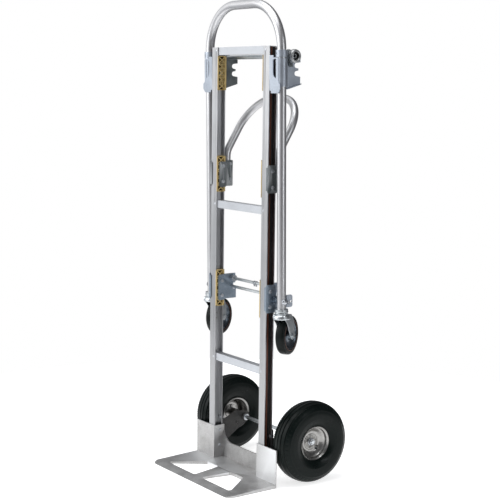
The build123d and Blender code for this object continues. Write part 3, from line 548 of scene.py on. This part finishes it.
def add_cross_bolts():
    """The bolts of the nose plate, the carriage, the brace and the lugs."""
    cross_bolts("nose_bolt_set", "nose_bolts", "frame",
                lambda near, far: (near, far, ("dome", 5.5, 3.0), ("hex", 5.2, 3.6, 0.4)))
    cross_bolts("carriage_bolt_set", "carriage_bolts", "carriage", bracket_plan)
    cross_bolts("brace_bolt_set", "brace_bolts", "brace", bracket_plan)
    cross_bolts("lug_bolt_set", "lug_bolts", "handle",
                lambda near, far: (far, near, ("hex", 6.0, 4.5), ("hex", 5.5, 4.0, 0.0)))


def add_pivot_bolts():
    """A pin through each handle tube, with a washer and a rounded head outside."""
    bm = bmesh.new()
    pin = [(0, 5.4), (0.6, 6.0), (53, 6.0), (53, 10.2), (54.3, 10.2), (54.6, 8.8), (56.4, 8.3), (57.8, 6.6),
           (58.7, 4.0), (59, 1.0)]
    for low, high in solids("pivot_bolts"):
        s, start = inner_end(low, high)
        lathe(bm, start * MM, (s, 0, 0), plain(pin), 48)
    finish_piece("pivot_bolt_set", bm, "zinc_fixings", "carriage", "pivot_bolts")


def add_hub_bolts():
    """Four painted bolts through each hub, with low domed heads outside."""
    for side, _ in SIDES:
        cross_bolts(f"hub_bolt_set_{side}", f"hub_bolts_{side}", f"wheel_{side}",
                    lambda near, far: (far, near, ("dome", 3.2, 0.5), ("hex", 5.0, 4.0, 0.0)), "rim_paint")


def add_back_bolts():
    """Bolts through the rails' back flanges, with their heads behind."""
    bm = bmesh.new()
    for low, high in solids("back_bolts"):
        thick = 4.0
        origin = Vector(((low.x + high.x) / 2, high.y - thick, (low.z + high.z) / 2)) * MM
        length = high.y - thick - low.y
        bolt(bm, origin, (0, -1, 0), length, ("hex", 5.5, thick), ("hex", 5.2, 3.4, length - 3.5))
    finish_piece("back_bolt_set", bm, "zinc_fixings", "frame", "back_bolts")


def add_rivets():
    """Domed rivets on the rails' front and back faces."""
    bm = bmesh.new()
    skin = 16.0
    for low, high in solids("crossbar_rivets"):
        front = -1 if low.y < 0 else 1
        origin = Vector(((low.x + high.x) / 2, front * skin, (low.z + high.z) / 2)) * MM
        lathe(bm, origin, (0, front, 0), [(-5, 2.4, 0), (-0.1, 2.4, 0)], 24)
        lathe(bm, origin, (0, front, 0), dome_rings(0, 1.8, 4.5), 36)
    finish_piece("rivet_set", bm, "zinc_fixings", "frame", "crossbar_rivets")


def add_axle_nuts():
    """A collar beside each bracket's boss, and a washer and a nut at each end of the axle."""
    bm = bmesh.new()
    bore = 6.4
    collar = plain([(0, bore), (0, 10.2), (0.8, 11), (8.2, 11), (9, 10.2), (9, bore)])
    washer = plain([(0, bore), (0, 11.6), (0.3, 12), (1.3, 12), (1.6, 11.6), (1.6, bore)])
    nut = [(1.6, bore, 0), (1.6, BIG, 11), (7.0, BIG, 11), (8.6, 9.1, 11), (8.6, 7.4, 0), (7.8, bore, 0)]
    for low, high in solids("axle_nuts"):
        s, start = inner_end(low, high)
        inside = abs(start.x) < 200
        for rings in (collar,) if inside else (washer, nut):
            lathe(bm, start * MM, (s, 0, 0), rings, 48, closed=True)
    finish_piece("axle_nut_set", bm, "zinc_fixings", "frame", "axle_nuts")


def add_guide_screws():
    """A domed screw in each of the upper blocks."""
    bm = bmesh.new()
    for low, high in solids("guide_block_screws"):
        s, start = inner_end(low, high)
        bolt(bm, (start + Vector((s * 3.5, 0, 0))) * MM, (s, 0, 0), 10, ("dome", 5.5, 3.4))
    finish_piece("guide_screw_set", bm, "zinc_fixings", "frame", "guide_block_screws")


# ---------------------------------------------------------------- bent tubes and the latch's eye


def bent_path(corners, radii):
    """Points along straight runs joined by arcs, in millimetres."""
    corners = [Vector(c) for c in corners]
    points = [corners[0]]
    for i, radius in enumerate(radii):
        before, corner, after = corners[i:i + 3]
        back, ahead = (before - corner).normalized(), (after - corner).normalized()
        half = back.angle(ahead) / 2
        reach = radius / math.tan(half)
        centre = corner + (back + ahead).normalized() * (radius / math.sin(half))
        start = corner + back * reach - centre
        turn = math.pi - 2 * half
        normal = back.cross(ahead).normalized()
        steps = max(6, round(math.degrees(turn) / 2.5))
        points += [centre + Matrix.Rotation(-turn * k / steps, 3, normal) @ start for k in range(steps + 1)]
    return points + [corners[-1]]


def add_tube(name, node, body, corners, radii, outer, inner, place):
    """A round tube with a smooth wall along the path, open at both ends."""
    points = bent_path(corners, radii)
    count = 40
    normal = Vector((1, 0, 0))
    bm = bmesh.new()
    skins = {outer: [], inner: []}
    for i, point in enumerate(points):
        ahead = points[min(i + 1, len(points) - 1)] - points[max(i - 1, 0)]
        along = ahead.normalized()
        normal = (normal - along * normal.dot(along)).normalized()
        side = along.cross(normal)
        for radius, rows in skins.items():
            row = []
            for k in range(count):
                angle = 2 * math.pi * k / count
                offset = (normal * math.cos(angle) + side * math.sin(angle)) * radius
                row.append(bm.verts.new(place @ ((point + offset) * MM)))
            rows.append(row)
    rows = skins[outer] + skins[inner][::-1]
    for a, b in zip(rows, rows[1:] + rows[:1]):
        for k in range(count):
            n = (k + 1) % count
            bm.faces.new((a[k], a[n], b[n], b[k]))
    finish_piece(name, bm, "tube_aluminium", body, node)


def add_tubes():
    """The handle loop, which leans forward a little about its pivot, and the brace loop, which leans back."""
    tube_x, tube_y, foot, top, pivot, lean = 198.0, 15.7, 576.0, 1536.0, 601.0, 1.05
    hinge = Vector((0, tube_y, pivot)) * MM
    tilt = Matrix.Rotation(math.radians(lean), 4, "X")
    turn = Matrix.Translation(hinge) @ tilt @ Matrix.Translation(-hinge)
    add_tube("bent_handle", "handle_tube", "handle",
             [(-tube_x, tube_y, foot), (-tube_x, tube_y, top), (tube_x, tube_y, top), (tube_x, tube_y, foot)],
             (145, 145), 14.5, 12.0, turn)
    x, y, foot, knee, length, lean = 141.0, 34.0, 944.0, 1060.0, 210.0, math.radians(31.5)
    far_y, far_z = y + length * math.sin(lean), knee + length * math.cos(lean)
    add_tube("bent_brace", "brace_loop", "brace",
             [(-x, y, foot), (-x, y, knee), (-x, far_y, far_z),
              (x, far_y, far_z), (x, y, knee), (x, y, foot)],
             (60, 120, 120, 60), 12.5, 10.5, Matrix())


def add_eye():
    """A rounded cast ring on the end of the latch bar, with a deep hole whose floor is painted black as
    painted shade.
    """
    latch = Vector((0, 46.0, 1371.0)) * MM
    hole, floor = 12.3 * MM, 205 * MM
    bm = bmesh.new()
    ring = [(200, 7.2), (200, 19.8), (201.6, 21.4), (207.6, 21.4), (211.6, 20.6), (214.4, 18.8),
            (215.8, 16.4), (215.6, 14.4), (214.0, 13.0), (211.6, 12.4), (207.0, 12.0), (206.2, 11.2),
            (206.2, 7.2)]
    lathe(bm, latch, (1, 0, 0), plain(ring), 72, closed=True)
    eye = finish_piece("cast_ring", bm, "cast_eye", "latch", "latch_eye")
    # The floor of the hole gets the near-black finish, a painted shade inside the hole.
    eye.data.materials.append(FINISH["painted_shade_black"])
    for polygon in eye.data.polygons:
        offset = polygon.center - latch
        if math.hypot(offset.y, offset.z) < hole and offset.x > floor:
            polygon.material_index = 1


# ---------------------------------------------------------------- large wheels

# Steps round the tyre, and the rings of its -X wall and first groove, which are the ones that ripple.
TREAD_STEPS = 384
RIPPLED_RINGS = 30


def crown_radius(x):
    """The tread's radius at a distance from the tyre's middle."""
    return 133.0 - 11.0 * (abs(x) / 35.0) ** 2.6


def mirrored(half):
    """A profile and its mirror image, from one side of the wheel to the other."""
    return half + [(-x, r) for x, r in reversed(half)]


def tyre_rings():
    """Place and radius of a ribbed tyre's rings, from the bead at its -X side over the crown to the other."""
    wall = [(-27, 51.2), (-28.2, 54), (-29.0, 57.4), (-31.4, 59.6), (-34.6, 63.5), (-37.6, 69), (-39.6, 74),
            (-40.6, 77), (-41.4, 81), (-41.8, 82), (-41.7, 83.4), (-41.9, 86), (-42.4, 94), (-42.2, 101),
            (-41.4, 106), (-40.9, 108.6), (-41.1, 109.4), (-40.4, 110.6), (-39.6, 111.4), (-38.2, 114.4),
            (-36.9, 117.2), (-35.4, 119.4), (-34.4, 121.0), (-31.6, crown_radius(-31.6))]
    crown = []
    for groove in (-28, -14, 0, 14, 28):
        for offset, drop in ((-2.3, 0.0), (-1.7, 0.6), (-1.1, 3.2), (1.1, 3.2), (1.7, 0.6), (2.3, 0.0)):
            x = groove + offset
            crown.append((x, crown_radius(x) - drop))
    far_wall = [(-x, r) for x, r in reversed(wall)]
    return wall + crown + far_wall


def add_tyre(side):
    """A tyre with grooves round its crown, a ripple on its -X side and sipes on the other shoulder."""
    rings = tyre_rings()
    ripple = (0.0, 1.1, 0.0, -1.1)

    def wave(i, k):
        if i < RIPPLED_RINGS:
            return ripple[k % len(ripple)], 0.0
        if i < len(rings):
            x, radius = rings[i]
            if 33 < abs(x) < 36 and radius > 110 and k % 8 < 2:
                return 0.0, -1.8
        return 0.0, 0.0

    inner = [(26, 51.0), (13, 51.0), (-13, 51.0), (-26, 51.0)]
    bm = bmesh.new()
    lathe(bm, wheel_centre(side), (1, 0, 0), plain(rings + inner), TREAD_STEPS, closed=True, wave=wave)
    finish_piece(f"ribbed_tyre_{side}", bm, "tyre_rubber", f"wheel_{side}", f"tyre_{side}", sharp=30)


def wheel_centre(side):
    """The middle of a large wheel, in metres."""
    return Vector(joint_of(f"wheel_{side}_spin")["pos_m"])


def add_rim(side, s):
    """A pressed steel rim with rolled lips, and a disc that curves in from its outer lip to the hub."""
    centre = wheel_centre(side)
    bm = bmesh.new()
    half = [(30, 54.2), (30.8, 55.0), (30.2, 55.9), (28.6, 55.6), (27.4, 54.2), (26.9, 52.2), (26.0, 51.1),
            (14, 50.9), (11, 49.4)]
    inside = [(28.9, 52.4), (28.2, 50.4), (26.4, 49.0), (15, 48.7), (11.8, 47.2)]
    shell = mirrored(half) + [(-x, r) for x, r in inside] + inside[::-1]
    lathe(bm, centre, (1, 0, 0), plain(shell), 144, closed=True)
    finish_piece(f"pressed_rim_{side}", bm, "rim_paint", f"wheel_{side}", slot="rim_paint")
    bm = bmesh.new()
    thick = 2.4
    face = [(18.4, 49.8), (17.7, 48.5), (17.0, 47.2), (16.2, 45.6), (14.4, 43.2), (11.6, 40.4), (8.8, 37.6),
            (7.0, 35.2), (6.2, 32.8), (6.0, 30.0), (6.0, 14.6)]
    back = [(x - thick, r + 0.6) for x, r in face[1:-1]] + [(3.4, 14.6)]
    lathe(bm, centre, (s, 0, 0), plain(face + back[::-1]), 144, closed=True)
    disc = finish_piece(f"wheel_disc_{side}", bm, "rim_paint", f"wheel_{side}", f"rim_{side}")
    bm = bmesh.new()
    hole_y, hole_z, hole_r = 24.0, -22.0, 8.0
    spot = centre + Vector((s * -2, hole_y, hole_z)) * MM
    lathe(bm, spot, (s, 0, 0), plain([(0, hole_r), (24, hole_r)]), 48)
    cut_by(disc, bm)


def add_hub(side, s):
    """A hub that reaches inward from the disc, with a flange behind it and raised rings round its bearing."""
    centre = wheel_centre(side)
    bm = bmesh.new()
    hub = [(-62, 6.5), (-62, 10.6), (-61, 11.5), (-34, 11.5), (-31, 13.4), (-29, 14.4), (0, 14.4), (0, 23.8),
           (0.7, 24.5), (2.4, 24.5), (3, 23.8), (3, 14.4), (5.8, 14.4), (6.5, 13.7), (6.5, 12.9), (5.5, 12.4),
           (5.5, 11.0), (6.5, 10.6), (6.5, 6.5)]
    lathe(bm, centre, (s, 0, 0), plain(hub), 96, closed=True)
    raised = [(5.8, 0), (7.3, 0.6), (7.6, 1.2), (7.3, 1.8), (5.8, 2.4)]
    for radius in (15.4, 19.4, 24.6):
        lathe(bm, centre, (s, 0, 0), plain([(x, radius + r) for x, r in raised]), 96, closed=True)
    finish_piece(f"wheel_hub_{side}", bm, "rim_paint", f"wheel_{side}", f"hub_{side}")


def cut_by(piece, bm):
    """Cut a piece by the closed shape in bm, for good."""
    mesh = bpy.data.meshes.new("cutter")
    bmesh.ops.recalc_face_normals(bm, faces=bm.faces)
    bm.to_mesh(mesh)
    bm.free()
    cutter = bpy.data.objects.new("cutter", mesh)
    bpy.context.scene.collection.objects.link(cutter)
    boolean = piece.modifiers.new("hole", "BOOLEAN")
    boolean.operation = "DIFFERENCE"
    boolean.solver = "EXACT"
    boolean.object = cutter
    cut = bpy.data.meshes.new_from_object(piece.evaluated_get(bpy.context.evaluated_depsgraph_get()))
    piece.modifiers.clear()
    piece.data = cut
    bpy.data.objects.remove(cutter)


# ---------------------------------------------------------------- casters


def add_caster_wheel(side):
    """A rubber tread, a dished centre, and a thin coloured line on each face where they meet."""
    spin = joint_of(f"caster_{side}_spin")
    centre, axis = Vector(spin["pos_m"]), Vector(spin["axis"])
    tread = [(-13.2, 47.0), (-15.0, 47.6), (-15.0, 55.6), (-14.7, 58.4), (-13.6, 60.8), (-11.6, 62.5),
             (-9.0, 63.3), (-4.5, 63.5)]
    bm = bmesh.new()
    lathe(bm, centre, axis, plain(mirrored(tread)), 108, closed=True)
    finish_piece(f"caster_tyre_{side}", bm, "caster_rubber", f"caster_wheel_{side}", f"caster_tread_{side}")
    bm = bmesh.new()
    face = [(-17.2, 5.2), (-17.2, 11.8), (-16.2, 12.8), (-9, 14.0), (-6.4, 16.6), (-5.4, 22), (-5.6, 34),
            (-7.4, 39.6), (-11.2, 42.4), (-13.4, 44.4), (-13.6, 46.9)]
    lathe(bm, centre, axis, plain(mirrored(face)), 96, closed=True)
    finish_piece(f"caster_core_{side}", bm, "caster_centre", f"caster_wheel_{side}", f"caster_hub_{side}")
    bm = bmesh.new()
    for face_side in (-1, 1):
        ring = [(14.6, 49.0), (15.25, 49.2), (15.25, 50.2), (14.6, 50.4)]
        lathe(bm, centre, axis, plain([(face_side * x, r) for x, r in ring]), 96, closed=True)
    finish_piece(f"caster_line_{side}", bm, "red_line", f"caster_wheel_{side}", slot="caster_rubber")


def swivel_frame(side):
    """The line that a caster swivels on, at its wheel's height, and the wheel's centre."""
    swivel = joint_of(f"caster_{side}_swivel")
    up = Vector(swivel["axis"]).normalized()
    up = up if up.z > 0 else -up
    wheel = Vector(joint_of(f"caster_{side}_spin")["pos_m"])
    pivot = Vector(swivel["pos_m"])
    return pivot + up * (wheel - pivot).dot(up), up, wheel


def add_fork(side):
    """A pressed fork: a domed crown, a bent hood over the wheel, and two curved legs down to the axle."""
    foot, up, wheel = swivel_frame(side)
    back = (wheel - foot).normalized()
    across = back.cross(up)
    trail = (wheel - foot).length / MM

    def place(x, y, z):
        """x along the wheel's axle, y the way it trails, z above the wheel's centre."""
        return foot + (across * x + back * y + up * z) * MM

    bm = bmesh.new()
    front = [(-17, 73), (-19, 66), (-17.5, 60.5), (-12, 56), (-5, 50), (2, 42.5), (8, 33), (13.5, 22),
             (18.6, 12), (23.6, 3), (28.4, -4), (33, -8.6)]
    turns = [math.radians(a) for a in range(-140, 1, 14)]
    end = [(trail + 13 * math.cos(a), 13 * math.sin(a)) for a in turns]
    rear = [(57.6, 10), (58.0, 22), (57.2, 34), (54.0, 45), (49.6, 54), (44.0, 61.6), (36, 67.4), (20, 72.4)]
    outline = front + end + rear
    for near, far in ((-21.1, -18.1), (18.1, 21.1)):
        inner = [bm.verts.new(place(near, y, z)) for y, z in outline]
        outer = [bm.verts.new(place(far, y, z)) for y, z in outline]
        bm.faces.new(inner)
        bm.faces.new(outer[::-1])
        for k in range(len(outline)):
            n = (k + 1) % len(outline)
            bm.faces.new((inner[n], inner[k], outer[k], outer[n]))
    hood = [(-19.4, 63.5), (-19.6, 70), (-17, 74.2), (-10, 76), (16, 75.2), (28, 72.6), (38, 69)]
    inset = [(-16.6, 63.5), (-16.8, 69), (-15, 71.6), (-9, 73), (15.4, 72.3), (27, 69.8), (36.9, 66.3)]
    band = hood + inset[::-1]
    left = [bm.verts.new(place(-21.0, y, z)) for y, z in band]
    right = [bm.verts.new(place(21.0, y, z)) for y, z in band]
    count = len(hood)
    for k in range(count - 1):
        for row in (left, right):
            m = 2 * count - 1 - k
            bm.faces.new((row[k], row[k + 1], row[m - 1], row[m]))
    for k in range(2 * count):
        n = (k + 1) % (2 * count)
        bm.faces.new((left[n], left[k], right[k], right[n]))
    crown = [(60.0, 26.6), (61.0, 27.4), (64.5, 27.3), (69, 26.2), (73, 23.8), (75.8, 20.2), (77.0, 15.0),
             (77.2, 6.1), (74.0, 6.1), (73.8, 14.6), (72.6, 18.8), (70.2, 21.6), (66.6, 23.6), (62.0, 24.6),
             (60.2, 24.8)]
    lathe(bm, foot, up, plain(crown), 72, closed=True)
    collar = [(77.4, 6.1), (77.4, 20.4), (78.2, 21.2), (80.6, 21.2), (81.4, 20.4), (81.4, 6.1)]
    lathe(bm, foot, up, plain(collar), 72, closed=True)
    lathe(bm, foot, up, plain([(81.0, 5.8), (98.0, 5.8)]), 36)
    fork = finish_piece(f"pressed_fork_{side}", bm, "bright_zinc", f"caster_swivel_{side}",
                        f"caster_fork_{side}", sharp=50)
    add_bevel(fork, 0.8, 2, 50)


def add_race(side):
    """The rolled bearing race between a caster's seat and its fork."""
    foot, up, _ = swivel_frame(side)
    height, radius, half_thick, steps = 84.2, 21.2, 1.4, 10
    ring = []
    for k in range(steps):
        a = 2 * math.pi * k / steps
        ring.append((height + half_thick * math.sin(a), radius + half_thick * math.cos(a)))
    bm = bmesh.new()
    lathe(bm, foot, up, plain(ring), 72, closed=True)
    finish_piece(f"bearing_race_{side}", bm, "bright_zinc", f"caster_swivel_{side}")


# ---------------------------------------------------------------- lattice blocks

# Blocks whose inner face lies beyond this |x| are the pads outside the webs.
PAD_X = 140.0


def add_span(bm, x1, x2, y, z, bevel):
    """A bevelled box from x1 to x2 in either order, with (low, high) in y and z."""
    xs = sorted((x1, x2))
    add_block(bm, (xs[0], y[0], z[0]), (xs[1], y[1], z[1]), bevel)


def add_lattice(node, name, body):
    """Moulded blocks with crossed ribs over deep pockets on the inner face, their floors painted near-black
    as painted shade, and plain pads outside.
    """
    channel, edge, side_edge, cells = 12.1, 2.6, 4.6, 5
    bm = bmesh.new()
    dark = []
    for low, high in solids(node):
        s = 1 if low.x > 0 else -1
        near, far = sorted((abs(low.x), abs(high.x)))
        if near > PAD_X:
            add_block(bm, low, high, 0.8)
            continue
        face, lip, floor, web = s * near, s * (near + 2.7), s * (far - 3.0), s * far
        y0, y1, z0, z1 = low.y, high.y, low.z, high.z
        # The pocket floors are collected here to be painted near-black, a painted shade.
        before = set(bm.faces)
        add_span(bm, floor, web, (-channel, channel), (z0, z1), 0.4)
        dark += [pocket for pocket in bm.faces if pocket not in before]
        for ys in ((y0, y0 + side_edge), (y1 - side_edge, y1)):
            add_span(bm, face, lip, ys, (z0, z1), 0.5)
        for zs in ((z0, z0 + edge), (z1 - edge, z1)):
            add_span(bm, face, lip, (y0, y1), zs, 0.5)
        for ys in ((-channel, -channel + 1.2), (channel - 1.2, channel)):
            add_span(bm, lip, floor, ys, (z0, z1), 0.3)
        for zs in ((z0, z0 + 2), (z1 - 2, z1)):
            add_span(bm, lip, floor, (-channel, channel), zs, 0.3)
        pitch = (z1 - z0 - 2 * edge) / cells
        reach = y1 - side_edge + 0.8
        x = s * (near + 0.25)
        for i in range(cells):
            a = z0 + edge + pitch * i
            b = a + pitch
            add_rib(bm, (x, -reach, a), (x, reach, b), 1.7, 3.6, s)
            add_rib(bm, (x, reach, a), (x, -reach, b), 1.7, 3.6, s)
            if i:
                ring = plain([(0, 3.6), (0, 5.0), (3.4, 5.0), (3.4, 3.6)])
                lathe(bm, Vector((x, 0, a)) * MM, (s, 0, 0), ring, 28, closed=True)
    # Painted shade on the pocket floors.
    for pocket in dark:
        if pocket.is_valid:
            pocket.material_index = 1
    piece = finish_piece(name, bm, "nylon_block", body, node)
    piece.data.materials.append(FINISH["pocket_painted_shade"])


def add_strips():
    """Thin sheets on the web of each rail's outer channel: black ones as painted shadow from the flanges at
    each side, and a brown one between them as a painted reflection.
    """
    web_face, gap, thick, foot, top = 145.0, 0.02, 0.25, 60, 1400
    # The brown lane is a painted reflection and the black lanes are painted shadow.
    for name, finish, lanes in (
        ("painted_brown_reflection", "painted_brown_reflection", ((-1.6, 4.8),)),
        ("painted_black_shadow", "painted_shade_black", ((-12.6, -1.7), (4.9, 12.6))),
    ):
        bm = bmesh.new()
        for _, s in SIDES:
            for lane in lanes:
                add_span(bm, s * (web_face + gap), s * (web_face + thick), lane, (foot, top), 0.05)
        finish_piece(name, bm, finish, "frame", slot="nylon_block")


# ---------------------------------------------------------------- CAD nodes that stay

# ROUNDING is in millimetres, for the nodes whose edges are rounder than the others' 0.5 mm.
CROSSBARS = ("crossbar_top", "crossbar_middle", "crossbar_lower")
ROUNDING = {"nose_plate": 2.0, "caster_seats": 1.6}
OTHER_FINISH = {
    **dict.fromkeys(CROSSBARS, "bar_aluminium"), "axle": "bright_zinc",
    "carriage_bracket_left": "dull_zinc", "carriage_bracket_right": "dull_zinc",
}


def add_bevel(piece, width, segments, angle):
    """Round the edges that are sharper than an angle."""
    bevel = piece.modifiers.new("bevel", "BEVEL")
    bevel.width = width * MM
    bevel.segments = segments
    bevel.limit_method = "ANGLE"
    bevel.angle_limit = math.radians(angle)


def dress_cad():
    """Give each shown CAD node its finish, and soften its edges. The crossbars keep crisp edges."""
    slots = {part["node"]: part["material_slot"] for part in frame["record"]["subparts"]}
    for name, piece in NODES.items():
        piece.data.materials.clear()
        piece.data.materials.append(FINISH[OTHER_FINISH.get(name, slots[name])])
        for polygon in piece.data.polygons:
            polygon.use_smooth = True
        weld = piece.modifiers.new("weld", "WELD")
        weld.merge_threshold = 0.00001
        if name in CROSSBARS:
            split = piece.modifiers.new("split", "EDGE_SPLIT")
            split.split_angle = math.radians(30)
        else:
            width = ROUNDING.get(name, 0.5)
            add_bevel(piece, width, 3 if width > 1 else 2, 40)
        normals = piece.modifiers.new("normals", "WEIGHTED_NORMAL")
        normals.keep_sharp = True


add_camera()
add_studio()
add_floor()
dress_cad()
add_cross_bolts()
add_pivot_bolts()
add_hub_bolts()
add_back_bolts()
add_rivets()
add_axle_nuts()
add_guide_screws()
add_tubes()
add_eye()
for side, s in SIDES:
    add_tyre(side)
    add_rim(side, s)
    add_hub(side, s)
    add_caster_wheel(side)
    add_fork(side)
    add_race(side)
add_strips()
for node, name, body in (
    ("guide_blocks_top", "lattice_top", "frame"),
    ("guide_blocks_middle", "lattice_middle", "brace"),
    ("guide_blocks_lower", "lattice_lower", "carriage"),
):
    add_lattice(node, name, body)
